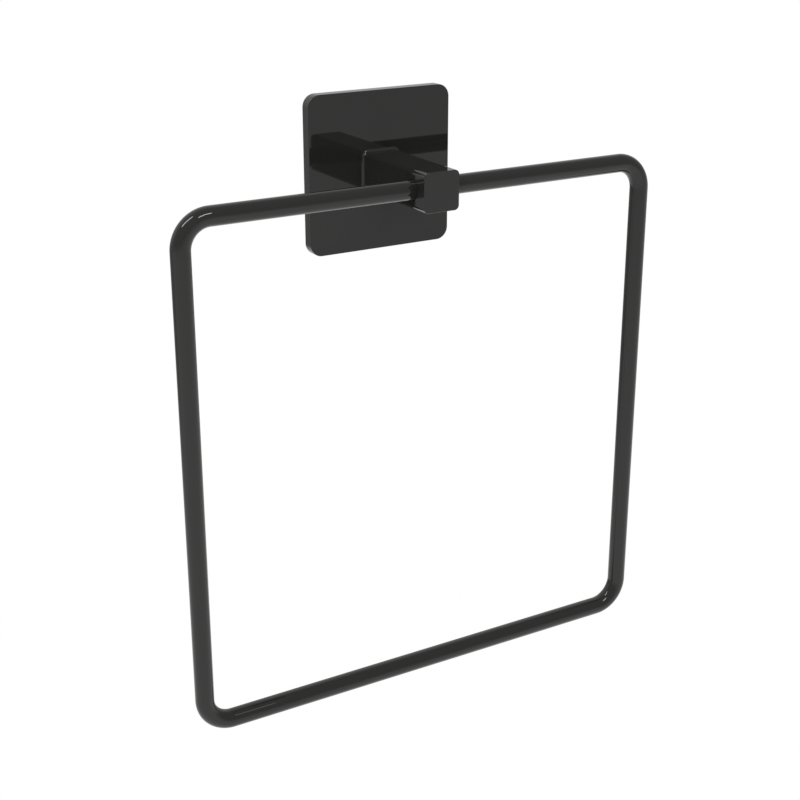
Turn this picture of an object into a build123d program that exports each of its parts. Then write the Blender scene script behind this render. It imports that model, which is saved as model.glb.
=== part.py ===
from build123d import *
import math
import os

# A wall-mounted square towel ring. +X is right, +Y goes into the wall and +Z is up. The origin is
# on the wall, at the centre of the plate's back face. All sizes are in millimetres and degrees.

# Wall plate, a shallow shell that is open towards the wall
PLATE_SIDE = 63.5
PLATE_DEPTH = 4.8
PLATE_CORNER = 5.0
FACE_WALL = 1.6
RIM_WALL = 2.5
EDGE_BREAK = 0.3
INNER_FILLET = 0.8

# Square arm, cast in one with the plate and cored from behind
ARM_SIDE = 15.4
ARM_EDGE = 1.9
REACH = 50.8
ROOT_FILLET = 1.2
CORE_WALL = 2.4
CORE_CORNER = 1.5
CORE_END_WALL = 3.0
CORE_DRAFT = 1.0
BORE_SETBACK = 8.8

# Ring, one round rod bent to a square
ROD_DIAMETER = 7.5
RING_SPAN = 203.2
RING_BEND = 11.5
RING_END_GAP = 0.6
ROD_END_CHAMFER = 0.4
RING_FIT = 0.05

# Wall bracket, a plate with a bevelled top and bottom edge
BRACKET_WIDTH = 44.0
BRACKET_CORNER = 3.0
BRACKET_FACE_GAP = 0.3
BRACKET_LAND = 0.4
WINDOW_SIDE = 14.0
WINDOW_CORNER = 2.0
SCREW_SPACING = 28.0
SCREW_HOLE = 4.5
COUNTERSINK = 1.2

# Hook, boss and ribs inside the plate, which carry it on the bracket
HOOK_WIDTH = 24.0
HOOK_ROOT = 3.8
HOOK_FIT = 0.1
BACK_GAP = 0.3
LIFT_SPARE = 0.5
BOSS_WIDTH = 7.0
BOSS_LENGTH = 4.6
RIB_LENGTH = 28.0
RIB_WIDTH = 1.5
RIB_FIT = 0.2

# Grub screws, with their threads left plain
PLATE_SCREW_DIAMETER = 3.0
PLATE_SCREW_LENGTH = 10.0
PLATE_SCREW_FROM_WALL = 2.0
PLATE_SCREW_TIP = 0.15
PLATE_SCREW_SOCKET = 1.5
PLATE_SOCKET_DEPTH = 2.0
RING_SCREW_DIAMETER = 4.0
RING_SCREW_RECESS = 0.3
RING_SCREW_SOCKET = 2.0
RING_SOCKET_DEPTH = 1.8
RING_SCREW_POINT = 0.6
THREAD_FIT = 0.03
CONE_ANGLE = 45.0
CONTACT_GAP = 0.02

# Sizes that follow from the ones above
recess_depth = PLATE_DEPTH - FACE_WALL
recess_half = PLATE_SIDE / 2 - RIM_WALL
bracket_thickness = recess_depth - BRACKET_FACE_GAP
bevel_depth = bracket_thickness - BRACKET_LAND
bracket_top = recess_half - HOOK_ROOT
bracket_bottom = recess_half - BOSS_LENGTH - bevel_depth - LIFT_SPARE
bracket_height = bracket_top + bracket_bottom
bore_radius = ROD_DIAMETER / 2 + RING_FIT
ring_from_wall = REACH - BORE_SETBACK
core_end = ring_from_wall - bore_radius - CORE_END_WALL
ring_screw_length = (ARM_SIDE - ROD_DIAMETER) / 2 - RING_SCREW_RECESS - CONTACT_GAP
bevel_under_screw = bracket_bottom - bevel_depth + PLATE_SCREW_FROM_WALL
plate_screw_top = -(bevel_under_screw + PLATE_SCREW_TIP + CONTACT_GAP)

# The wall plane looks out into the room, with +Z as its own y. The side plane looks along +X.
wall = Plane.XZ
side = Plane.YZ


def square_bar(width, corner, start, end):
    """A rounded square bar on the Y axis, between two distances from the wall."""
    return extrude(wall.offset(start) * RectangleRounded(width, width, corner), end - start)


def side_profile(points, width):
    """A closed outline of (distance from the wall, height), extruded to both sides of x = 0."""
    outline = [(-distance, height) for distance, height in points]
    face = make_face(side * Polyline(*outline, close=True))
    return extrude(face, width / 2, both=True)


def vertical_cylinder(diameter, from_wall, low, high):
    """A cylinder on x = 0 that runs up between two heights."""
    circle = Pos(0, -from_wall, low) * Circle(diameter / 2)
    return extrude(circle, high - low)


def edges_at(solid, distance):
    """The solid's edges that lie wholly in a plane parallel to the wall."""
    tiny = EDGE_BREAK / 10
    return solid.edges().filter_by_position(Axis.Y, -distance - tiny, -distance + tiny)


def outer_form():
    """The plate and the arm as seen from the room, before the back is hollowed out."""
    plate = square_bar(PLATE_SIDE, PLATE_CORNER, 0, PLATE_DEPTH)
    plate = fillet(edges_at(plate, PLATE_DEPTH), EDGE_BREAK)
    arm = square_bar(ARM_SIDE, ARM_EDGE, recess_depth, REACH)
    arm = fillet(edges_at(arm, REACH), EDGE_BREAK)
    post = plate + arm
    root = edges_at(post, PLATE_DEPTH).filter_by(
        lambda edge: max(abs(edge.center().X), abs(edge.center().Z)) < ARM_SIDE / 2 + EDGE_BREAK
    )
    return fillet(root, ROOT_FILLET)


def recess():
    """The room inside the plate, with its floor rounded into its sides as a casting's is."""
    room = square_bar(2 * recess_half, PLATE_CORNER - RIM_WALL, 0, recess_depth)
    return fillet(edges_at(room, recess_depth), INNER_FILLET)


def arm_core():
    """The drafted pocket that a core pin leaves in the arm, open into the plate's recess."""
    width = ARM_SIDE - 2 * CORE_WALL
    mouth = wall * RectangleRounded(width, width, CORE_CORNER)
    pin = extrude(mouth, core_end, taper=CORE_DRAFT)
    return fillet(edges_at(pin, core_end), INNER_FILLET)


def hook():
    """The lug at the top of the recess, undercut to match the bracket's top bevel."""
    slope = bracket_top - bevel_depth + HOOK_FIT
    return side_profile(
        [
            (BACK_GAP, slope + BACK_GAP),
            (recess_depth, slope + recess_depth),
            (recess_depth, recess_half),
            (BACK_GAP, recess_half),
        ],
        HOOK_WIDTH,
    )


def screw_boss():
    """The block at the bottom of the recess that gives the grub screw its thread."""
    low = -recess_half
    high = low + BOSS_LENGTH
    return side_profile(
        [(BACK_GAP, low), (recess_depth, low), (recess_depth, high), (BACK_GAP, high)],
        BOSS_WIDTH,
    )


def side_ribs():
    """Two upright ribs that keep the plate from sliding sideways on the bracket."""
    centre = BRACKET_WIDTH / 2 + RIB_FIT + RIB_WIDTH / 2
    rib = extrude(wall.offset(BACK_GAP) * Rectangle(RIB_WIDTH, RIB_LENGTH), recess_depth - BACK_GAP)
    return [Pos(centre * hand, 0, 0) * rib for hand in (-1, 1)]


def mounting_post():
    """The casting: plate, arm, and the lugs, bore and tapped holes that they carry."""
    post = outer_form()
    post -= recess()
    post -= arm_core()
    post += [hook(), screw_boss(), *side_ribs()]
    bore = Plane(origin=(0, -ring_from_wall, 0), z_dir=(1, 0, 0)) * Circle(bore_radius)
    post -= extrude(bore, ARM_SIDE / 2, both=True)
    post -= vertical_cylinder(
        RING_SCREW_DIAMETER + 2 * THREAD_FIT, ring_from_wall, -ARM_SIDE / 2, 0
    )
    post -= vertical_cylinder(
        PLATE_SCREW_DIAMETER + 2 * THREAD_FIT,
        PLATE_SCREW_FROM_WALL,
        -PLATE_SIDE / 2,
        plate_screw_top,
    )
    return post


def towel_ring():
    """The bent rod. It starts and ends in the arm's bore, where its two ends face each other."""
    half = RING_SPAN / 2
    end = RING_END_GAP / 2
    corners = [(end, 0), (half, 0), (half, -RING_SPAN), (-half, -RING_SPAN), (-half, 0), (-end, 0)]
    path = wall.offset(ring_from_wall) * FilletPolyline(*corners, radius=RING_BEND)
    section = Plane(origin=path @ 0, z_dir=path % 0) * Circle(ROD_DIAMETER / 2)
    rod = sweep(section, path=path)
    return chamfer(rod.edges().filter_by_position(Axis.X, -RING_END_GAP, RING_END_GAP), ROD_END_CHAMFER)


def countersunk_hole(height):
    """A wall screw's hole on x = 0, widened to a cone at the bracket's room side."""
    radius = SCREW_HOLE / 2
    outline = Polyline(
        (0, 0),
        (radius, 0),
        (radius, bracket_thickness - COUNTERSINK),
        (radius + COUNTERSINK, bracket_thickness),
        (0, bracket_thickness),
        close=True,
    )
    section = Plane(origin=(0, 0, height), x_dir=(1, 0, 0), z_dir=(0, 0, -1))
    return revolve(make_face(section * outline), Axis((0, 0, height), (0, 1, 0)), 360)


def wall_bracket():
    """The bracket: bevelled so that the hook and the screw's cone draw the plate to the wall."""
    blank = side_profile(
        [
            (0, bracket_top - bevel_depth),
            (bevel_depth, bracket_top),
            (bracket_thickness, bracket_top),
            (bracket_thickness, -bracket_bottom),
            (bevel_depth, -bracket_bottom),
            (0, bevel_depth - bracket_bottom),
        ],
        BRACKET_WIDTH,
    )
    middle = (bracket_top - bracket_bottom) / 2
    outline = Pos(0, middle) * RectangleRounded(BRACKET_WIDTH, bracket_height, BRACKET_CORNER)
    bracket = blank & extrude(wall * outline, bracket_thickness)
    bracket -= square_bar(WINDOW_SIDE, WINDOW_CORNER, 0, bracket_thickness)
    for hand in (-1, 1):
        bracket -= countersunk_hole(hand * SCREW_SPACING / 2)
    return bracket


def grub_screw(diameter, length, point, point_radius, socket, socket_depth):
    """A socket set screw on the Z axis with its point up at z = 0."""
    radius = diameter / 2
    outline = Polyline(
        (0, 0),
        (point_radius, 0),
        (radius, -point),
        (radius, -length),
        (0, -length),
        close=True,
    )
    screw = revolve(make_face(Plane.XZ * outline), Axis.Z, 360)
    hexagon = Pos(0, 0, -length) * RegularPolygon(socket / 2, 6, major_radius=False)
    return screw - extrude(hexagon, socket_depth)


def plate_grub_screw():
    """The cone-point screw under the plate, with its cone on the bracket's bottom bevel."""
    cone_width = PLATE_SCREW_DIAMETER / 2 - PLATE_SCREW_TIP
    screw = grub_screw(
        PLATE_SCREW_DIAMETER,
        PLATE_SCREW_LENGTH,
        cone_width / math.tan(math.radians(CONE_ANGLE)),
        PLATE_SCREW_TIP,
        PLATE_SCREW_SOCKET,
        PLATE_SOCKET_DEPTH,
    )
    return Pos(0, -PLATE_SCREW_FROM_WALL, plate_screw_top) * screw


def ring_grub_screw():
    """The flat-point screw under the arm, which bears on both ends of the ring's rod."""
    radius = RING_SCREW_DIAMETER / 2
    screw = grub_screw(
        RING_SCREW_DIAMETER,
        ring_screw_length,
        RING_SCREW_POINT,
        radius - RING_SCREW_POINT,
        RING_SCREW_SOCKET,
        RING_SOCKET_DEPTH,
    )
    return Pos(0, -ring_from_wall, -ROD_DIAMETER / 2 - CONTACT_GAP) * screw


nodes = {
    "mounting_post": mounting_post,
    "towel_ring": towel_ring,
    "wall_bracket": wall_bracket,
    "plate_grub_screw": plate_grub_screw,
    "ring_grub_screw": ring_grub_screw,
}

os.makedirs("parts", exist_ok=True)
for name, make in nodes.items():
    piece = make()
    piece.label = name
    export_step(piece, f"parts/{name}.step")
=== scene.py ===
import math
from typing import NamedTuple

import bmesh
import bpy
from bpy.props import FloatProperty, FloatVectorProperty, IntProperty, PointerProperty
from bpy.types import Operator, Panel, PropertyGroup
from mathutils import Matrix, Vector


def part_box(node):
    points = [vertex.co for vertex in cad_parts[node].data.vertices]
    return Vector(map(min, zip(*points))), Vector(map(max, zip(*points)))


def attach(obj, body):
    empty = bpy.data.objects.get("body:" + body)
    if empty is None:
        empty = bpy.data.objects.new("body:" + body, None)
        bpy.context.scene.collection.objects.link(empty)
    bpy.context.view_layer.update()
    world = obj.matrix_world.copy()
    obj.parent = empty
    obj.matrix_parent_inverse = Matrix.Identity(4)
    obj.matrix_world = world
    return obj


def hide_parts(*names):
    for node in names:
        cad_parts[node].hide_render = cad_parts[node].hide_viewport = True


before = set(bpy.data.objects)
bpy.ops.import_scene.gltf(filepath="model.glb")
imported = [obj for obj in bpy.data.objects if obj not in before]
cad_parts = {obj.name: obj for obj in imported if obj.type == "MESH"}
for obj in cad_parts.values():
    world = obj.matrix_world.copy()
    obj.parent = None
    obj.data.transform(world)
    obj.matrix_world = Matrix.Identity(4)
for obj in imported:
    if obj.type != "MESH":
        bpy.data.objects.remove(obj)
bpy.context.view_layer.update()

bl_info = {
    "name": "Square Towel Ring",
    "version": (1, 0, 0),
    "blender": (4, 5, 0),
    "location": "3D View > Sidebar > Towel Ring",
    "description": "Builds a gloss black wall-mounted towel ring and the studio that shows it",
    "category": "Add Mesh",
}

# Everything is in metres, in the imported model's frame: +X right, +Y into the wall, +Z up, with the
# wall at y = 0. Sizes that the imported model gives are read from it.
MM = 0.001
RIGHT = Vector((1, 0, 0))
OUT = Vector((0, -1, 0))
UP = Vector((0, 0, 1))
QUARTER_TURN = math.radians(90)
SMOOTH_ANGLE = math.radians(28)
BROKEN_EDGE_ANGLE = math.radians(35)
FLAT_FACE_WEIGHT = 80
MERGE = 0.0005 * MM

# How far a cutting tool runs past its piece, the room around a grub screw in its tapped hole, and
# how far the casting's inside finish reaches past the inner walls
BEYOND = 1 * MM
THREAD_FIT = 0.03 * MM
INSIDE_MARGIN = 0.05 * MM

# A thread's depth, its lead-in and how far it starts below the screw's foot, in pitches, its turns
# beyond the screw's length, and its tooth as (share of the depth inwards, share of the pitch)
THREAD_DEPTH = 0.54
THREAD_LEAD = 0.45
THREAD_START = 1.2
SPARE_TURNS = 2
TOOTH = ((1, 0), (1, 0.25), (0, 0.56), (0, 0.69), (1, 1))

# The surround's level changes between these heights of a direction, in front of and behind the
# wall, and between these shares of a direction that point into the wall. The gloss sees plain
# white below the last pair.
FRONT_RISE = (-0.46, 0.1)
BACK_RISE = (-0.35, 0.35)
WALL_TURN = (0.15, 0.65)
WHITE_BELOW = (-0.5, -0.3)

# The floor's grey under the lamps, its white to the camera and the gloss, and how much of what
# they see is that white, which leaves the rest to the object's shadow
FLOOR_GREY = 0.8
FLOOR_WHITE = 1.05
FLOOR_SHARE = 0.9

LAMP_AIM = Vector((0, -0.04, -0.1))
SENSOR_WIDTH = 36

post_low, post_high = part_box("mounting_post")
ring_low, ring_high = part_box("towel_ring")
bracket_low, bracket_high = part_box("wall_bracket")
plate_screw_low, plate_screw_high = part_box("plate_grub_screw")
ring_screw_low, ring_screw_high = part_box("ring_grub_screw")


# What a user would change


def length(name, default, description):
    """A size in metres."""
    return FloatProperty(
        name=name, description=description, default=default, min=0, precision=5,
        subtype="DISTANCE", unit="LENGTH",
    )


def count(name, default, description):
    """A number of segments or steps."""
    return IntProperty(name=name, description=description, default=default, min=1)


def colour(name, default, description):
    """A linear surface colour."""
    return FloatVectorProperty(
        name=name, description=description, default=default, min=0, max=1, subtype="COLOR", size=3
    )


def factor(name, default, description):
    """A value between 0 and 1."""
    return FloatProperty(
        name=name, description=description, default=default, min=0, max=1, subtype="FACTOR"
    )


def angle(name, degrees, description):
    """An angle, given here in degrees."""
    return FloatProperty(
        name=name, description=description, default=math.radians(degrees), subtype="ANGLE",
        unit="ROTATION",
    )


def brightness(name, default, description):
    """How bright a part of the surround is, where 1 is white."""
    return FloatProperty(name=name, description=description, default=default, min=0)


def power(name, default, description):
    """A lamp's power in watts."""
    return FloatProperty(name=name, description=description, default=default, min=0, unit="POWER")


class RingSizes(PropertyGroup):
    """Sizes of the bent rod"""

    rod: length("Rod diameter", ring_high.y - ring_low.y, "Thickness of the round rod")
    span: length(
        "Span",
        (ring_high.x - ring_low.x) - (ring_high.y - ring_low.y),
        "Side of the square between the rod's centre lines",
    )
    bend: length("Bend radius", 11.5 * MM, "Radius of the rod's centre line at the four bends")
    end_gap: length("End gap", 0.6 * MM, "Distance between the rod's two ends inside the arm")
    chamfer: length("End chamfer", 0.4 * MM, "Chamfer on the rod's two ends")
    around: count("Segments around", 64, "Segments around the rod")
    bend_steps: count("Bend steps", 24, "Steps in each bend")


class PostSizes(PropertyGroup):
    """Sizes of the wall plate and its arm"""

    plate: length("Plate side", post_high.x - post_low.x, "Side of the square wall plate")
    plate_depth: length("Plate depth", 4.8 * MM, "How far the plate stands off the wall")
    plate_corner: length("Plate corner", 5 * MM, "Corner radius of the plate")
    face_wall: length("Face wall", 1.6 * MM, "Thickness of the plate's front")
    rim_wall: length("Rim wall", 2.5 * MM, "Thickness of the plate's rim")
    arm: length("Arm side", 15.4 * MM, "Side of the square arm")
    arm_corner: length("Arm corner", 1.9 * MM, "Radius of the arm's long edges")
    reach: length("Reach", -post_low.y, "Distance from the wall to the arm's front")
    edge_break: length("Edge break", 0.3 * MM, "Rounding of the front edges")
    root_fillet: length("Root fillet", 1.2 * MM, "Fillet where the arm leaves the plate")
    inner_fillet: length("Inner fillet", 0.8 * MM, "Fillet in the casting's inner corners")
    core_wall: length("Core wall", 2.4 * MM, "Wall left around the arm's core at its mouth")
    core_corner: length("Core corner", 1.5 * MM, "Radius of the core's long edges at its mouth")
    core_end_wall: length("Core end wall", 3 * MM, "Wall left between the core and the rod's bore")
    core_draft: angle("Core draft", 1, "Draft of the core pin")
    bore_fit: length("Bore fit", 0.05 * MM, "Room around the rod in its bore")
    mouth_break: length("Mouth break", 0.12 * MM, "Chamfer at the bore's two mouths")
    hook_width: length("Hook width", 24 * MM, "Width of the hook at the top of the recess")
    hook_fit: length("Hook fit", 0.1 * MM, "Room between the hook and the bracket's bevel")
    back_gap: length("Back gap", 0.3 * MM, "How far the lugs stay clear of the wall")
    boss_width: length("Boss width", 7 * MM, "Width of the grub screw's boss")
    boss_length: length("Boss length", 4.6 * MM, "Height of the grub screw's boss")
    rib_length: length("Rib length", 28 * MM, "Height of the two ribs beside the bracket")
    rib_width: length("Rib width", 1.5 * MM, "Thickness of the two ribs")
    rib_fit: length("Rib fit", 0.2 * MM, "Room between the ribs and the bracket")
    corner_steps: count("Corner steps", 12, "Segments in each rounded corner")
    edge_steps: count("Edge steps", 4, "Segments in the rounding of the front edges")
    root_steps: count("Root steps", 8, "Segments in the fillet at the arm's root")
    inner_steps: count("Inner steps", 5, "Segments in the inner fillets")
    bore_steps: count("Bore steps", 96, "Segments around the cross bore")


class BracketSizes(PropertyGroup):
    """Sizes of the hidden wall bracket"""

    corner: length("Corner", 3 * MM, "Corner radius of the bracket")
    land: length("Land", 0.4 * MM, "Flat left at the front of the bevelled edges")
    window: length("Window", 14 * MM, "Side of the square window behind the arm")
    window_corner: length("Window corner", 2 * MM, "Corner radius of the window")
    screw_spacing: length("Screw spacing", 28 * MM, "Distance between the two wall screw holes")
    screw_hole: length("Screw hole", 4.5 * MM, "Diameter of the wall screw holes")
    countersink: length("Countersink", 1.2 * MM, "Depth of the countersinks")
    edge_break: length("Edge break", 0.12 * MM, "Rounding of the bracket's edges")
    corner_steps: count("Corner steps", 8, "Segments in each rounded corner")
    edge_steps: count("Edge steps", 2, "Segments in the rounding of the edges")


class ScrewSizes(PropertyGroup):
    """Sizes of the two grub screws"""

    plate_socket: length("Plate screw socket", 1.5 * MM, "Key size of the screw under the plate")
    plate_pitch: length("Plate screw pitch", 0.5 * MM, "Thread pitch of the screw under the plate")
    plate_socket_depth: length(
        "Plate screw socket depth", 2 * MM, "Depth of the key socket of the screw under the plate"
    )
    plate_tip: length("Plate screw tip", 0.15 * MM, "Radius of the flat on the cone's tip")
    ring_socket: length("Arm screw socket", 2 * MM, "Key size of the screw under the arm")
    ring_pitch: length("Arm screw pitch", 0.7 * MM, "Thread pitch of the screw under the arm")
    ring_socket_depth: length(
        "Arm screw socket depth", 1.8 * MM, "Depth of the key socket of the screw under the arm"
    )
    ring_tip: length("Arm screw tip", 1.4 * MM, "Radius of the flat point")
    thread_steps: count("Thread steps", 36, "Steps in one turn of a thread")


class Finishes(PropertyGroup):
    """Colours and roughness of the three finishes"""

    lacquer: colour("Lacquer", (0.0141, 0.0141, 0.0134), "Colour of the gloss black finish")
    lacquer_roughness: factor("Lacquer roughness", 0.03, "Roughness of the gloss black finish")
    zinc: colour("Zinc", (0.62, 0.63, 0.65), "Colour of the bracket's plating")
    zinc_roughness: factor("Zinc roughness", 0.3, "Roughness of the bracket's plating")
    oxide: colour("Black oxide", (0.03, 0.03, 0.032), "Colour of the grub screws")
    oxide_roughness: factor("Oxide roughness", 0.34, "Roughness of the grub screws")


class Studio(PropertyGroup):
    """Camera, floor, surround and lamps"""

    camera_place: FloatVectorProperty(
        name="Camera place", description="Where the camera stands", subtype="TRANSLATION",
        unit="LENGTH", default=(-0.285849, -0.504076, 0.11924),
    )
    heading: angle("Heading", 30.5608, "Camera heading from straight at the wall, to the right")
    tilt: angle("Tilt", -20.6754, "Camera tilt, downwards if negative")
    lens: FloatProperty(
        name="Lens", description="Focal length", default=65.578, min=1, subtype="DISTANCE_CAMERA",
        unit="CAMERA",
    )
    floor_drop: length("Floor drop", 1.0, "Depth of the floor below the plate's centre")
    floor_radius: length("Floor radius", 1.6, "Radius of the round floor")
    floor_steps: count("Floor steps", 96, "Segments around the floor")
    upper_light: brightness("Upper light", 0.43, "Surround in front of the wall, above the horizon")
    lower_light: brightness("Lower light", 1.0, "Surround in front of the wall, near the floor")
    upper_back: brightness("Upper back light", 0.8, "Surround behind the wall, above the horizon")
    lower_back: brightness("Lower back light", 0.36, "Surround behind the wall, near the floor")
    fill_power: power("Fill power", 15, "Power of the large soft lamp that the gloss doesn't show")
    right_power: power("Right strip power", 4.2, "Power of the lamp that glints on the upper bends")
    left_power: power("Left strip power", 5.88, "Power of the lamp that glints beside them")
    far_power: power("Far strip power", 0.35, "Power of the lamp that lines the bottom bar")


class TowelRingSettings(PropertyGroup):
    """All that a user would change"""

    ring: PointerProperty(name="Ring", description="The bent rod", type=RingSizes)
    post: PointerProperty(name="Post", description="The plate and its arm", type=PostSizes)
    bracket: PointerProperty(name="Bracket", description="The wall bracket", type=BracketSizes)
    screws: PointerProperty(name="Screws", description="The grub screws", type=ScrewSizes)
    finishes: PointerProperty(name="Finishes", description="The surfaces", type=Finishes)
    studio: PointerProperty(name="Studio", description="The stage and its lamps", type=Studio)


# Shader maths


class Value:
    """A shader socket. Arithmetic on it adds Math nodes to its tree."""

    def __init__(self, tree, socket=None):
        self.tree = tree
        self.socket = socket

    def node(self, kind, output=0, settings=None, **sockets):
        """Adds any node and returns one of its outputs.

        A ramp's stops are a setting. Sockets go by their names, or by number as i0, i1 and so on.
        """
        made = self.tree.nodes.new(kind)
        for name, setting in (settings or {}).items():
            if name == "stops":
                self.set_stops(made.color_ramp, setting)
            else:
                setattr(made, name, setting)
        for name, value in sockets.items():
            key = int(name[1:]) if name[1:].isdigit() else name.replace("_", " ")
            self.plug(made.inputs[key], value)
        return Value(self.tree, made.outputs[output]) if made.outputs else made

    def plug(self, target, value):
        """Links a value to an input, or sets the input to a constant."""
        if isinstance(value, Value):
            self.tree.links.new(value.socket, target)
        else:
            target.default_value = value

    @staticmethod
    def set_stops(ramp, stops):
        """Gives a colour ramp its stops, each a place and a colour."""
        for _ in range(len(stops) - len(ramp.elements)):
            ramp.elements.new(0.5)
        for element, (place, stop_colour) in zip(ramp.elements, stops):
            element.position = place
            element.color = stop_colour

    def math(self, operation, first, second):
        """A Math node on two values."""
        return self.node("ShaderNodeMath", settings={"operation": operation}, i0=first, i1=second)

    def __add__(self, other):
        return self.math("ADD", self, other)

    def __radd__(self, other):
        return self.math("ADD", other, self)

    def __sub__(self, other):
        return self.math("SUBTRACT", self, other)

    def __rsub__(self, other):
        return self.math("SUBTRACT", other, self)

    def __mul__(self, other):
        return self.math("MULTIPLY", self, other)

    def __rmul__(self, other):
        return self.math("MULTIPLY", other, self)

    def __lt__(self, other):
        return self.math("LESS_THAN", self, other)

    def __gt__(self, other):
        return self.math("GREATER_THAN", self, other)

    def __abs__(self):
        return self.node("ShaderNodeMath", settings={"operation": "ABSOLUTE"}, i0=self)

    def channel(self, name):
        """One axis of a vector."""
        return self.node("ShaderNodeSeparateXYZ", output=name, Vector=self)

    def noise(self, scale, detail=2, stretch=(1, 1, 1)):
        """Soft noise on this vector, as a value around 0.5. The scale is in features per metre."""
        stretched = self.node("ShaderNodeMapping", Vector=self, Scale=stretch)
        return self.node("ShaderNodeTexNoise", Vector=stretched, Scale=scale, Detail=detail)

    def blend(self, first, second):
        """Two colours mixed by this value."""
        return self.node(
            "ShaderNodeMix", output=2, settings={"data_type": "RGBA"}, i0=self, i6=first, i7=second
        )

    def ramp(self, low, high, at_low, at_high):
        """A smooth step from one number to another as this value goes from low to high."""
        return self.node(
            "ShaderNodeMapRange", settings={"interpolation_type": "SMOOTHSTEP"}, Value=self,
            From_Min=low, From_Max=high, To_Min=at_low, To_Max=at_high,
        )

    def bump(self, distance, strength=1):
        """A normal that follows this height."""
        return self.node("ShaderNodeBump", Height=self, Distance=distance, Strength=strength)


def new_material(name):
    """An empty material, its shader and its object coordinates."""
    material = bpy.data.materials.new(name)
    material.use_nodes = True
    shader = material.node_tree.nodes["Principled BSDF"]
    start = Value(material.node_tree)
    place = start.node("ShaderNodeTexCoord", output="Object")
    return material, shader, place


def dress(shader, place, **sockets):
    """Plugs values into the shader's sockets by their names."""
    for name, value in sockets.items():
        place.plug(shader.inputs[name.replace("_", " ")], value)


def tinted(shade, gain):
    """A colour made lighter or darker, with its alpha."""
    return (*(min(1, channel * gain) for channel in shade), 1)


def gloss_black(settings):
    """Mirror-gloss black over the casting and the rod, thinner and rougher inside the casting."""
    finishes, sizes = settings.finishes, settings.post
    material, shader, place = new_material("black_lacquer")
    across = abs(place.channel("X"))
    depth = place.channel("Y") * -1
    height = abs(place.channel("Z"))
    recess = sizes.plate / 2 - sizes.rim_wall + INSIDE_MARGIN
    recess_depth = sizes.plate_depth - sizes.face_wall + INSIDE_MARGIN
    core = sizes.arm / 2 - sizes.core_wall + INSIDE_MARGIN
    in_recess = (across < recess) * (height < recess) * (depth < recess_depth)
    in_core = (across < core) * (height < core) * (depth < core_end(settings) + INSIDE_MARGIN)
    inside = (in_recess + in_core) > 0.5

    clouds = place.noise(scale=38, detail=3)
    smears = place.noise(scale=120, detail=4, stretch=(1, 1, 0.35))
    peel = place.noise(scale=1100, detail=1)
    cast_grain = place.noise(scale=2600, detail=4)
    lacquer = clouds.blend(tinted(finishes.lacquer, 0.96), tinted(finishes.lacquer, 1.04))
    base = inside.blend(lacquer, tinted(finishes.lacquer, 1.35))
    roughness = finishes.lacquer_roughness * 0.7 + smears * (finishes.lacquer_roughness * 0.6)
    peel_share = 0.05
    height_map = peel * (1 - inside) * peel_share + cast_grain * inside
    dress(
        shader,
        place,
        Base_Color=base,
        Roughness=roughness + inside * (0.25 + 0.2 * cast_grain),
        Normal=height_map.bump(distance=0.02 * MM, strength=0.35),
        IOR=1.45,
    )
    return material


def zinc_plate(finishes):
    """Bright zinc plating over rolled steel, with the cloudy tint of a clear passivation."""
    material, shader, place = new_material("bright_zinc")
    clouds = place.noise(scale=70, detail=3)
    grain = place.noise(scale=900, detail=3, stretch=(0.06, 1, 1))
    speckle = place.noise(scale=2400, detail=2)
    red, green, blue = finishes.zinc
    bluish = tinted((red * 0.94, green, blue * 1.04), 0.94)
    yellowish = tinted((red * 1.05, green * 1.02, blue * 0.93), 1)
    stops = [(0.35, bluish), (0.5, tinted(finishes.zinc, 1)), (0.66, yellowish)]
    tint = clouds.node("ShaderNodeValToRGB", settings={"stops": stops}, Fac=clouds)
    dress(
        shader,
        place,
        Base_Color=tint,
        Metallic=1.0,
        Roughness=finishes.zinc_roughness - 0.06 + 0.12 * grain + 0.05 * speckle,
        Normal=(grain + 0.3 * speckle).bump(distance=0.01 * MM, strength=0.3),
    )
    return material


def black_steel(finishes):
    """Black oxide on hardened steel, worn a little towards bare metal."""
    material, shader, place = new_material("black_oxide")
    wear = place.noise(scale=900, detail=4)
    grain = place.noise(scale=5000, detail=2)
    rubbed = wear.ramp(low=0.55, high=0.75, at_low=0, at_high=1)
    dress(
        shader,
        place,
        Base_Color=rubbed.blend(tinted(finishes.oxide, 1), tinted(finishes.oxide, 2.4)),
        Metallic=0.6 + 0.3 * rubbed,
        Roughness=finishes.oxide_roughness - 0.08 * rubbed + 0.12 * grain,
        Normal=grain.bump(distance=0.006 * MM, strength=0.4),
    )
    return material


# Mesh making


def turned(direction, angle_about_y):
    """A direction turned about the Y axis."""
    return Matrix.Rotation(angle_about_y, 3, "Y") @ direction


def loop_of(geometry):
    """The edges among some geometry."""
    return [item for item in geometry if isinstance(item, bmesh.types.BMEdge)]


def verts_of(edges):
    """The vertices of some edges, each once and in a fixed order."""
    return list(dict.fromkeys(vert for edge in edges for vert in edge.verts))


def extruded(bm, loop, offset):
    """Draws a loop of edges along an offset and returns the loop at its far end."""
    made = bmesh.ops.extrude_edge_only(bm, edges=loop)["geom"]
    far = loop_of(made)
    far = [edge for edge in far if all(vert in made for vert in edge.verts)]
    bmesh.ops.translate(bm, verts=verts_of(far), vec=offset)
    return far


def circle(bm, segments, radius, matrix=Matrix()):
    """A circle as a loop of edges."""
    made = bmesh.ops.create_circle(
        bm, cap_ends=False, segments=segments, radius=radius, matrix=matrix
    )
    return list(dict.fromkeys(edge for vert in made["verts"] for edge in vert.link_edges))


def resized(bm, loop, centre, ratio):
    """Scales a loop about its centre."""
    bmesh.ops.scale(
        bm, vec=Vector((1, 1, 1)) * ratio, verts=verts_of(loop), space=Matrix.Translation(-centre)
    )


def closed(bm, loop):
    """Fills a flat loop with one face."""
    return bmesh.ops.contextual_create(bm, geom=loop)["faces"]


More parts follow.
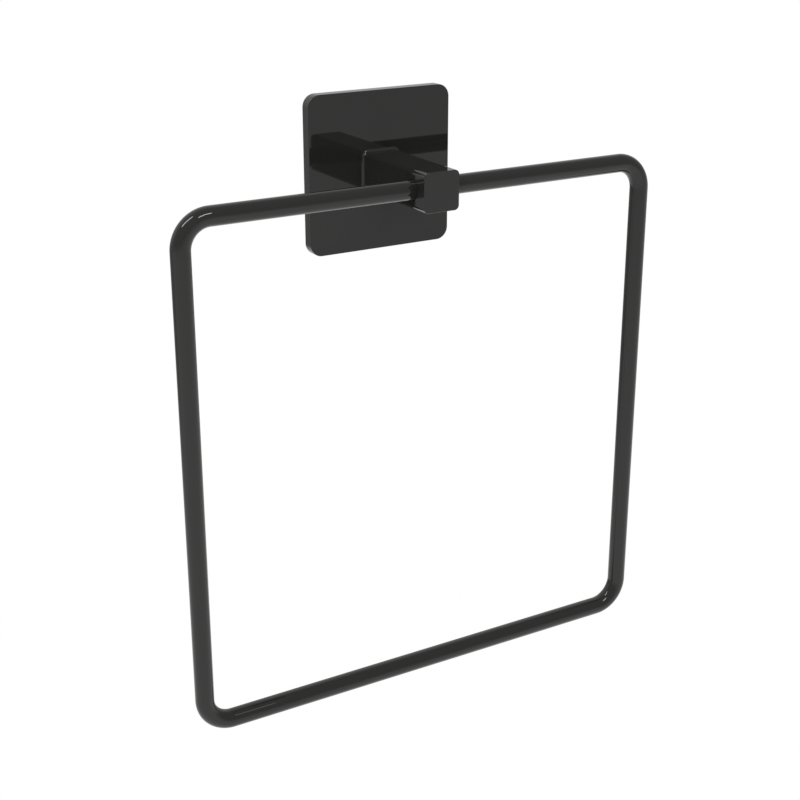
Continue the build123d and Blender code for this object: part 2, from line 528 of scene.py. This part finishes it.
def rounded_loop(bm, width, tall, corner, depth, steps):
    """A rounded rectangle parallel to the wall, as a loop of edges."""
    place = Matrix.Translation(OUT * depth) @ Matrix.Rotation(QUARTER_TURN, 4, "X")
    place = place @ Matrix.Diagonal((width / 2, tall / 2, 1, 1))
    quad = bmesh.ops.create_grid(bm, x_segments=1, y_segments=1, size=1, matrix=place)["verts"]
    rounded = bmesh.ops.bevel(
        bm, geom=quad, offset=corner, offset_type="OFFSET", segments=steps, profile=0.5,
        affect="VERTICES", material=-1,
    )
    face = max(rounded["verts"][0].link_faces, key=lambda found: len(found.verts))
    loop = list(face.edges)
    bmesh.ops.delete(bm, geom=[face], context="FACES_ONLY")
    return loop


def bridged(bm, first, second, inward=OUT):
    """Joins two loops, drawn apart meanwhile because loops in one plane can pair up wrongly."""
    inner = verts_of(second)
    bmesh.ops.translate(bm, verts=inner, vec=inward * MM)
    bmesh.ops.bridge_loops(bm, edges=first + second)
    bmesh.ops.translate(bm, verts=inner, vec=inward * -MM)


def rounded_edges(bm, loop, radius, steps):
    """Rounds a loop of edges, whether it stands out or lies in a corner."""
    bmesh.ops.bevel(
        bm, geom=loop, offset=radius, offset_type="OFFSET", segments=steps, profile=0.5,
        affect="EDGES", material=-1,
    )


def made_object(name, bm, recalculate=True):
    """A finished mesh as an object of the scene."""
    if recalculate:
        bmesh.ops.remove_doubles(bm, verts=bm.verts, dist=MERGE)
        bmesh.ops.recalc_face_normals(bm, faces=bm.faces)
    mesh = bpy.data.meshes.new(name)
    bm.to_mesh(mesh)
    bm.free()
    piece = bpy.data.objects.new(name, mesh)
    bpy.context.scene.collection.objects.link(piece)
    return piece


def carved(piece, tools, operation):
    """Joins or cuts a piece with closed tools, which are used up."""
    for tool in tools:
        step = piece.modifiers.new("tool", "BOOLEAN")
        step.operation = operation
        step.solver = "EXACT"
        step.object = tool
    bpy.context.view_layer.update()
    graph = bpy.context.evaluated_depsgraph_get()
    mesh = bpy.data.meshes.new_from_object(piece.evaluated_get(graph))
    old = piece.data
    piece.modifiers.clear()
    piece.data = mesh
    mesh.name = piece.name
    bpy.data.meshes.remove(old)
    for tool in tools:
        spent = tool.data
        bpy.data.objects.remove(tool)
        bpy.data.meshes.remove(spent)
    return piece


def finished(piece, node, material):
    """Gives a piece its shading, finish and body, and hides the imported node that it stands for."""
    piece.data.shade_smooth()
    piece.data.set_sharp_from_angle(angle=SMOOTH_ANGLE)
    piece.data.materials.clear()
    piece.data.materials.append(material)
    weighted = piece.modifiers.new("flat faces stay flat", "WEIGHTED_NORMAL")
    weighted.keep_sharp = True
    weighted.weight = FLAT_FACE_WEIGHT
    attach(piece, "root")
    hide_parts(node)
    return piece


def turned_tool(name, profile, foot, axis, steps=64):
    """A closed tool turned about an axis, from (distance along the axis, radius) stations."""
    bm = bmesh.new()
    frame_of_axis = axis.to_track_quat("Z", "Y").to_matrix().to_4x4()
    (start, radius), *rest = profile
    place = Matrix.Translation(foot + axis * start) @ frame_of_axis
    loop = circle(bm, steps, radius, place)
    closed(bm, loop)
    for distance, next_radius in rest:
        loop = extruded(bm, loop, axis * (distance - start))
        resized(bm, loop, foot + axis * distance, next_radius / radius)
        start, radius = distance, next_radius
    closed(bm, loop)
    return made_object(name, bm)


def prism_tool(name, outline, width, centre=0):
    """A closed tool with an outline of (distance from the wall, height), centred across x."""
    bm = bmesh.new()
    left = centre - width / 2
    verts = [bm.verts.new((left, -depth, height)) for depth, height in outline]
    face = bm.faces.new(verts)
    loop = extruded(bm, list(face.edges), RIGHT * width)
    closed(bm, loop)
    return made_object(name, bm)


# The pieces


def settings_of(context):
    """The scene's own settings of the towel ring."""
    return context.scene.towel_ring


def ring_depth():
    """Distance from the wall to the rod's centre line."""
    return -(ring_low.y + ring_high.y) / 2


def bore_radius(settings):
    """Radius of the arm's cross bore."""
    return settings.ring.rod / 2 + settings.post.bore_fit


def core_end(settings):
    """Distance from the wall to the end of the arm's core."""
    return ring_depth() - bore_radius(settings) - settings.post.core_end_wall


class TOWELRING_OT_ring(Operator):
    """Bend the round rod to a square whose two ends meet inside the arm"""

    bl_idname = "towel_ring.add_ring"
    bl_label = "Towel Ring"

    def execute(self, context):
        sizes = settings_of(context).ring
        bm = bmesh.new()
        radius = sizes.rod / 2
        half = sizes.span / 2
        place = OUT * ring_depth() + RIGHT * (sizes.end_gap / 2)
        facing = Matrix.Translation(place) @ Matrix.Rotation(QUARTER_TURN, 4, "Y")
        loop = circle(bm, sizes.around, radius - sizes.chamfer, facing)
        closed(bm, loop)
        heading = RIGHT.copy()
        loop = extruded(bm, loop, heading * sizes.chamfer)
        place = place + heading * sizes.chamfer
        resized(bm, loop, place, radius / (radius - sizes.chamfer))
        end_run = half - sizes.bend - sizes.end_gap / 2 - sizes.chamfer
        side_run = sizes.span - 2 * sizes.bend
        for run in (end_run, side_run, side_run, side_run):
            loop = extruded(bm, loop, heading * run)
            side = turned(heading, QUARTER_TURN)
            centre = place + heading * run + side * sizes.bend
            bend = bmesh.ops.spin(
                bm, geom=loop, cent=centre, axis=(0, 1, 0), angle=QUARTER_TURN,
                steps=sizes.bend_steps, use_duplicate=False, use_merge=False,
            )
            loop = loop_of(bend["geom_last"])
            place = place + heading * run + (heading + side) * sizes.bend
            heading = side
        loop = extruded(bm, loop, heading * end_run)
        place = place + heading * end_run
        loop = extruded(bm, loop, heading * sizes.chamfer)
        place = place + heading * sizes.chamfer
        resized(bm, loop, place, (radius - sizes.chamfer) / radius)
        closed(bm, loop)
        piece = made_object("bent_rod", bm)
        finished(piece, "towel_ring", bpy.data.materials["black_lacquer"])
        return {"FINISHED"}


class TOWELRING_OT_post(Operator):
    """Cast the wall plate and the arm in one, with the lugs, bore and tapped holes they carry"""

    bl_idname = "towel_ring.add_post"
    bl_label = "Mounting Post"

    def execute(self, context):
        settings = settings_of(context)
        sizes = settings.post
        recess_depth = sizes.plate_depth - sizes.face_wall
        recess_half = sizes.plate / 2 - sizes.rim_wall
        body = self.shell(sizes, recess_depth, core_end(settings))
        carved(body, self.lugs(settings, recess_depth, recess_half), "UNION")
        carved(body, self.bores(settings), "DIFFERENCE")
        body.name = "cast_post"
        finished(body, "mounting_post", bpy.data.materials["black_lacquer"])
        return {"FINISHED"}

    @staticmethod
    def shell(sizes, recess_depth, core_depth):
        """The plate and the arm, hollow from behind."""
        bm = bmesh.new()
        steps = sizes.corner_steps

        def ring(width, corner, depth):
            return rounded_loop(bm, width, width, corner, depth, steps)

        def drafted(depth):
            shrink = depth * math.tan(sizes.core_draft)
            return sizes.arm - 2 * sizes.core_wall - 2 * shrink, sizes.core_corner - shrink

        rim = ring(sizes.plate, sizes.plate_corner, 0)
        front = extruded(bm, rim, OUT * sizes.plate_depth)
        root = ring(sizes.arm, sizes.arm_corner, sizes.plate_depth)
        bridged(bm, front, root)
        tip = extruded(bm, root, OUT * (sizes.reach - sizes.plate_depth))
        closed(bm, tip)
        mouth = ring(sizes.plate - 2 * sizes.rim_wall, sizes.plate_corner - sizes.rim_wall, 0)
        bridged(bm, rim, mouth)
        floor = extruded(bm, mouth, OUT * recess_depth)
        core_width, core_corner = drafted(recess_depth)
        core_mouth = ring(core_width, core_corner, recess_depth)
        bridged(bm, floor, core_mouth)
        end_width, end_corner = drafted(core_depth)
        core_tip = ring(end_width, end_corner, core_depth)
        bridged(bm, core_mouth, core_tip)
        closed(bm, core_tip)
        for loop, radius, segments in (
            (front, sizes.edge_break, sizes.edge_steps),
            (tip, sizes.edge_break, sizes.edge_steps),
            (root, sizes.root_fillet, sizes.root_steps),
            (floor, sizes.inner_fillet, sizes.inner_steps),
            (core_tip, sizes.inner_fillet, sizes.inner_steps),
        ):
            rounded_edges(bm, loop, radius, segments)
        return made_object("cast_post", bm)

    @staticmethod
    def lugs(settings, recess_depth, recess_half):
        """The hook, the screw boss and the two ribs that hold the plate on its bracket."""
        sizes = settings.post
        sunk = recess_depth + sizes.face_wall / 2
        over = recess_half + sizes.rim_wall / 2
        bevel = -bracket_low.y - settings.bracket.land
        slope = bracket_high.z - bevel + sizes.hook_fit

        def block(low, high):
            return [(sizes.back_gap, low), (sunk, low), (sunk, high), (sizes.back_gap, high)]

        hook = [
            (sizes.back_gap, slope + sizes.back_gap),
            (sunk, slope + sunk),
            (sunk, over),
            (sizes.back_gap, over),
        ]
        boss = block(-over, sizes.boss_length - recess_half)
        rib = block(-sizes.rib_length / 2, sizes.rib_length / 2)
        beside = bracket_high.x + sizes.rib_fit + sizes.rib_width / 2
        return [
            prism_tool("hook", hook, sizes.hook_width),
            prism_tool("boss", boss, sizes.boss_width),
            prism_tool("left_rib", rib, sizes.rib_width, -beside),
            prism_tool("right_rib", rib, sizes.rib_width, beside),
        ]

    @staticmethod
    def bores(settings):
        """The rod's cross bore and the two tapped holes, with their edges broken."""
        sizes = settings.post
        radius = bore_radius(settings)
        half = sizes.arm / 2
        edge = sizes.mouth_break
        flare = edge + BEYOND
        cross = [
            (-half - BEYOND, radius + flare),
            (-half + edge, radius),
            (half - edge, radius),
            (half + BEYOND, radius + flare),
        ]
        centre = OUT * ring_depth()
        ring_hole = ring_screw_high.x + THREAD_FIT
        under_arm = [
            (-half - BEYOND, ring_hole + flare),
            (-half + edge, ring_hole),
            (-radius / 2, ring_hole),
        ]
        plate_hole = plate_screw_high.x + THREAD_FIT
        under_plate = [
            (-sizes.plate / 2 - BEYOND, plate_hole + flare),
            (-sizes.plate / 2 + edge, plate_hole),
            (plate_screw_high.z, plate_hole),
        ]
        plate_axis = Vector((0, (plate_screw_low.y + plate_screw_high.y) / 2, 0))
        return [
            turned_tool("cross_bore", cross, centre, RIGHT, sizes.bore_steps),
            turned_tool("arm_thread", under_arm, centre, UP),
            turned_tool("plate_thread", under_plate, plate_axis, UP),
        ]


class TOWELRING_OT_bracket(Operator):
    """Stamp the wall bracket that the plate hooks over"""

    bl_idname = "towel_ring.add_bracket"
    bl_label = "Wall Bracket"

    def execute(self, context):
        sizes = settings_of(context).bracket
        width = bracket_high.x - bracket_low.x
        tall = bracket_high.z - bracket_low.z
        thick = bracket_high.y - bracket_low.y
        middle = (bracket_high.z + bracket_low.z) / 2
        bm = bmesh.new()
        back = rounded_loop(bm, width, tall, sizes.corner, 0, sizes.corner_steps)
        closed(bm, back)
        front = extruded(bm, back, OUT * thick)
        closed(bm, front)
        bmesh.ops.translate(bm, verts=bm.verts, vec=UP * middle)
        body = made_object("pressed_bracket", bm)
        carved(body, self.cutters(sizes, width, thick), "DIFFERENCE")
        softened = body.modifiers.new("broken edges", "BEVEL")
        softened.width = sizes.edge_break
        softened.segments = sizes.edge_steps
        softened.limit_method = "ANGLE"
        softened.angle_limit = BROKEN_EDGE_ANGLE
        finished(body, "wall_bracket", bpy.data.materials["bright_zinc"])
        return {"FINISHED"}

    @staticmethod
    def cutters(sizes, width, thick):
        """Tools for the bevels, the window and the two countersunk holes."""
        bevel = thick - sizes.land
        top = [
            (-BEYOND, bracket_high.z - bevel - BEYOND),
            (bevel + BEYOND, bracket_high.z + BEYOND),
            (-BEYOND, bracket_high.z + BEYOND),
        ]
        bottom = [
            (-BEYOND, bracket_low.z + bevel + BEYOND),
            (bevel + BEYOND, bracket_low.z - BEYOND),
            (-BEYOND, bracket_low.z - BEYOND),
        ]
        hole = sizes.screw_hole / 2
        hole_profile = [
            (-BEYOND, hole),
            (thick - sizes.countersink, hole),
            (thick + BEYOND, hole + sizes.countersink + BEYOND),
        ]
        bm = bmesh.new()
        side = sizes.window
        loop = rounded_loop(bm, side, side, sizes.window_corner, -BEYOND, sizes.corner_steps)
        closed(bm, loop)
        closed(bm, extruded(bm, loop, OUT * (thick + 2 * BEYOND)))
        window = made_object("window", bm)
        holes = [
            turned_tool("screw_hole", hole_profile, UP * (hand * sizes.screw_spacing / 2), OUT)
            for hand in (-1, 1)
        ]
        return [
            prism_tool("top_bevel", top, width + 2 * BEYOND),
            prism_tool("bottom_bevel", bottom, width + 2 * BEYOND),
            window,
            *holes,
        ]


class TOWELRING_OT_screws(Operator):
    """Cut the two socket grub screws, threads and all"""

    bl_idname = "towel_ring.add_screws"
    bl_label = "Grub Screws"

    def execute(self, context):
        sizes = settings_of(context).screws
        steel = bpy.data.materials["black_oxide"]
        under_plate = self.grub_screw(
            "plate_thread_screw", plate_screw_low, plate_screw_high, sizes.plate_pitch,
            sizes.plate_tip, sizes.plate_socket, sizes.plate_socket_depth, sizes.thread_steps,
        )
        finished(under_plate, "plate_grub_screw", steel)
        under_arm = self.grub_screw(
            "arm_thread_screw", ring_screw_low, ring_screw_high, sizes.ring_pitch,
            sizes.ring_tip, sizes.ring_socket, sizes.ring_socket_depth, sizes.thread_steps,
        )
        finished(under_arm, "ring_grub_screw", steel)
        return {"FINISHED"}

    @staticmethod
    def grub_screw(name, low, high, pitch, tip, socket, socket_depth, steps):
        """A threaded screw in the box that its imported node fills, with its point up.

        The socket's size is the key's, across the flats of the hexagon.
        """
        bm = bmesh.new()
        radius = (high.x - low.x) / 2
        tall = high.z - low.z
        deep = THREAD_DEPTH * pitch
        verts = [
            bm.verts.new((radius - deep * inwards, 0, (turn - THREAD_START) * pitch))
            for inwards, turn in TOOTH
        ]
        edges = [bm.edges.new(pair) for pair in zip(verts, verts[1:])]
        turns = math.ceil(tall / pitch) + SPARE_TURNS
        bmesh.ops.spin(
            bm, geom=verts + edges, cent=(0, 0, 0), axis=(0, 0, 1), dvec=(0, 0, pitch / steps),
            angle=2 * math.pi * turns, steps=steps * turns, use_duplicate=False, use_merge=False,
        )
        bmesh.ops.remove_doubles(bm, verts=bm.verts, dist=MERGE)
        for height, side in ((0, -1), (tall, 1)):
            cut = bmesh.ops.bisect_plane(
                bm, geom=bm.verts[:] + bm.edges[:] + bm.faces[:], plane_co=(0, 0, height),
                plane_no=(0, 0, side), clear_outer=True, clear_inner=False,
            )
            rim = loop_of(cut["geom_cut"])
            if side > 0:
                closed(bm, rim)
            else:
                seat = circle(bm, 6, socket / math.sqrt(3))
                bridged(bm, rim, seat, UP)
                bottom = closed(bm, extruded(bm, seat, UP * socket_depth))
                apex = bmesh.ops.poke(bm, faces=bottom)["verts"]
                drill_cone = socket / 6
                bmesh.ops.translate(bm, verts=apex, vec=UP * drill_cone)
        # The point's cone and the foot's lead-in are pressed out of the thread, but not the socket.
        lead = THREAD_LEAD * pitch
        for vert in bm.verts:
            across = math.hypot(vert.co.x, vert.co.y)
            allowed = min(tip + tall - vert.co.z, radius - lead + max(vert.co.z, 0))
            if across > allowed and across > socket:
                vert.co.x *= allowed / across
                vert.co.y *= allowed / across
        centre = (low + high) / 2
        bmesh.ops.translate(bm, verts=bm.verts, vec=Vector((centre.x, centre.y, low.z)))
        return made_object(name, bm)


class TOWELRING_OT_finishes(Operator):
    """Mix the gloss black, the zinc plating and the black oxide"""

    bl_idname = "towel_ring.add_finishes"
    bl_label = "Finishes"

    def execute(self, context):
        settings = settings_of(context)
        gloss_black(settings)
        zinc_plate(settings.finishes)
        black_steel(settings.finishes)
        return {"FINISHED"}


class Lamp(NamedTuple):
    """A rectangular lamp that faces the ring, with its width along a direction."""

    name: str
    watts: float
    place: tuple
    along: tuple
    width: float
    height: float
    in_gloss: bool = True


class TOWELRING_OT_stage(Operator):
    """Set up the pale floor, the soft surround, the lamps and the camera"""

    bl_idname = "towel_ring.add_stage"
    bl_label = "Stage"

    def execute(self, context):
        studio = settings_of(context).studio
        self.floor(studio)
        self.surround(context.scene, studio)
        self.lamps(context.scene, studio)
        self.camera(context.scene, studio)
        context.scene.view_settings.view_transform = "Standard"
        return {"FINISHED"}

    @staticmethod
    def floor(studio):
        """A round pale floor far below the ring. The camera and the gloss see it as white."""
        bm = bmesh.new()
        bmesh.ops.create_circle(
            bm, cap_ends=True, segments=studio.floor_steps, radius=studio.floor_radius,
            matrix=Matrix.Translation(UP * -studio.floor_drop),
        )
        floor = made_object("studio_floor", bm, recalculate=False)
        material = bpy.data.materials.new("studio_floor")
        material.use_nodes = True
        material.node_tree.nodes.clear()
        start = Value(material.node_tree)
        camera, gloss, clear = light_paths(start)
        seen = (camera + gloss + clear) > 0.5
        lit = start.node("ShaderNodeBsdfDiffuse", Color=tinted((1, 1, 1), FLOOR_GREY))
        glow = start.node("ShaderNodeEmission", Color=(1, 1, 1, 1), Strength=FLOOR_WHITE)
        surface = start.node("ShaderNodeMixShader", i0=seen * FLOOR_SHARE, i1=lit, i2=glow)
        start.node("ShaderNodeOutputMaterial", Surface=surface)
        floor.data.materials.append(material)

    @staticmethod
    def surround(scene, studio):
        """White to the camera, and to the gloss near the floor. A soft wrap of light elsewhere."""
        world = bpy.data.worlds.new("studio_surround")
        world.use_nodes = True
        world.node_tree.nodes.clear()
        scene.world = world
        start = Value(world.node_tree)
        towards = start.node("ShaderNodeTexCoord", output="Generated")
        height = towards.channel("Z")
        front = height.ramp(*FRONT_RISE, studio.lower_light, studio.upper_light)
        back = height.ramp(*BACK_RISE, studio.lower_back, studio.upper_back)
        level = front + (back - front) * towards.channel("Y").ramp(*WALL_TURN, 0, 1)
        wrap = start.node("ShaderNodeBackground", Color=(1, 1, 1, 1), Strength=level)
        white = start.node("ShaderNodeBackground", Color=(1, 1, 1, 1), Strength=1.0)
        camera, gloss, clear = light_paths(start)
        seen = camera + (gloss + clear) * height.ramp(*WHITE_BELOW, 1, 0)
        surface = start.node("ShaderNodeMixShader", i0=seen, i1=wrap, i2=white)
        start.node("ShaderNodeOutputWorld", Surface=surface)

    @staticmethod
    def lamps(scene, studio):
        """A large soft fill, and strip lamps that leave their glints on the ring."""
        fill = Lamp(
            "fill", studio.fill_power, place=(-1.05, -0.95, 1.1), along=(1, 0, 0), width=1.2,
            height=1.2, in_gloss=False,
        )
        right_strip = Lamp(
            "right_strip", studio.right_power, place=(0.145, -1.09, 0.95), along=(1, 0, 0),
            width=0.55, height=0.16,
        )
        far_strip = Lamp(
            "far_strip", studio.far_power, place=(1.228, -2.46, 2.46), along=(1, 0, 0),
            width=0.134, height=0.37,
        )
        left_strip = Lamp(
            "left_strip", studio.left_power, place=(-0.82, -0.12, 1.15), along=(0.8, -0.3, 0.5),
            width=0.75, height=0.22,
        )
        for lamp in (fill, right_strip, far_strip, left_strip):
            light = bpy.data.lights.new(lamp.name, "AREA")
            light.shape = "RECTANGLE"
            light.size = lamp.width
            light.size_y = lamp.height
            light.energy = lamp.watts
            stand = bpy.data.objects.new(lamp.name, light)
            back = (Vector(lamp.place) - LAMP_AIM).normalized()
            across = Vector(lamp.along)
            across = (across - back * across.dot(back)).normalized()
            turn = Matrix((across, back.cross(across), back)).transposed()
            stand.matrix_world = Matrix.Translation(lamp.place) @ turn.to_4x4()
            stand.visible_glossy = lamp.in_gloss
            scene.collection.objects.link(stand)

    @staticmethod
    def camera(scene, studio):
        """The camera at the photograph's viewing angle."""
        lens = bpy.data.cameras.new("photo_camera")
        lens.lens = studio.lens
        lens.sensor_width = SENSOR_WIDTH
        camera = bpy.data.objects.new("photo_camera", lens)
        camera.location = studio.camera_place
        camera.rotation_euler = (QUARTER_TURN + studio.tilt, 0, -studio.heading)
        scene.collection.objects.link(camera)
        scene.camera = camera


def light_paths(start):
    """1 each where the camera, the gloss or a clear material looks at the stage."""
    return [
        start.node("ShaderNodeLightPath", output=flag)
        for flag in ("Is Camera Ray", "Is Glossy Ray", "Is Transmission Ray")
    ]


class TOWELRING_PT_panel(Panel):
    """Lists the towel ring's sizes and the steps that build it"""

    bl_idname = "TOWELRING_PT_panel"
    bl_label = "Towel Ring"
    bl_space_type = "VIEW_3D"
    bl_region_type = "UI"
    bl_category = "Towel Ring"

    def draw(self, context):
        settings = settings_of(context)
        for title, group, operator in (
            ("Finishes", settings.finishes, "add_finishes"),
            ("Ring", settings.ring, "add_ring"),
            ("Post", settings.post, "add_post"),
            ("Bracket", settings.bracket, "add_bracket"),
            ("Screws", settings.screws, "add_screws"),
            ("Stage", settings.studio, "add_stage"),
        ):
            box = self.layout.box()
            box.label(text=title)
            for name in group.__annotations__:
                box.prop(group, name)
            box.operator(f"towel_ring.{operator}")


classes = (
    RingSizes,
    PostSizes,
    BracketSizes,
    ScrewSizes,
    Finishes,
    Studio,
    TowelRingSettings,
    TOWELRING_OT_finishes,
    TOWELRING_OT_ring,
    TOWELRING_OT_post,
    TOWELRING_OT_bracket,
    TOWELRING_OT_screws,
    TOWELRING_OT_stage,
    TOWELRING_PT_panel,
)


def register():
    """Adds the classes and the scene's settings."""
    for item in classes:
        bpy.utils.register_class(item)
    bpy.types.Scene.towel_ring = PointerProperty(type=TowelRingSettings)


def unregister():
    """Takes the scene's settings and the classes away again."""
    del bpy.types.Scene.towel_ring
    for item in reversed(classes):
        bpy.utils.unregister_class(item)


def main():
    """Builds the stage and the pieces."""
    register()
    bpy.ops.towel_ring.add_stage()
    bpy.ops.towel_ring.add_finishes()
    bpy.ops.towel_ring.add_ring()
    bpy.ops.towel_ring.add_post()
    bpy.ops.towel_ring.add_bracket()
    bpy.ops.towel_ring.add_screws()


if __name__ == "__main__":
    main()
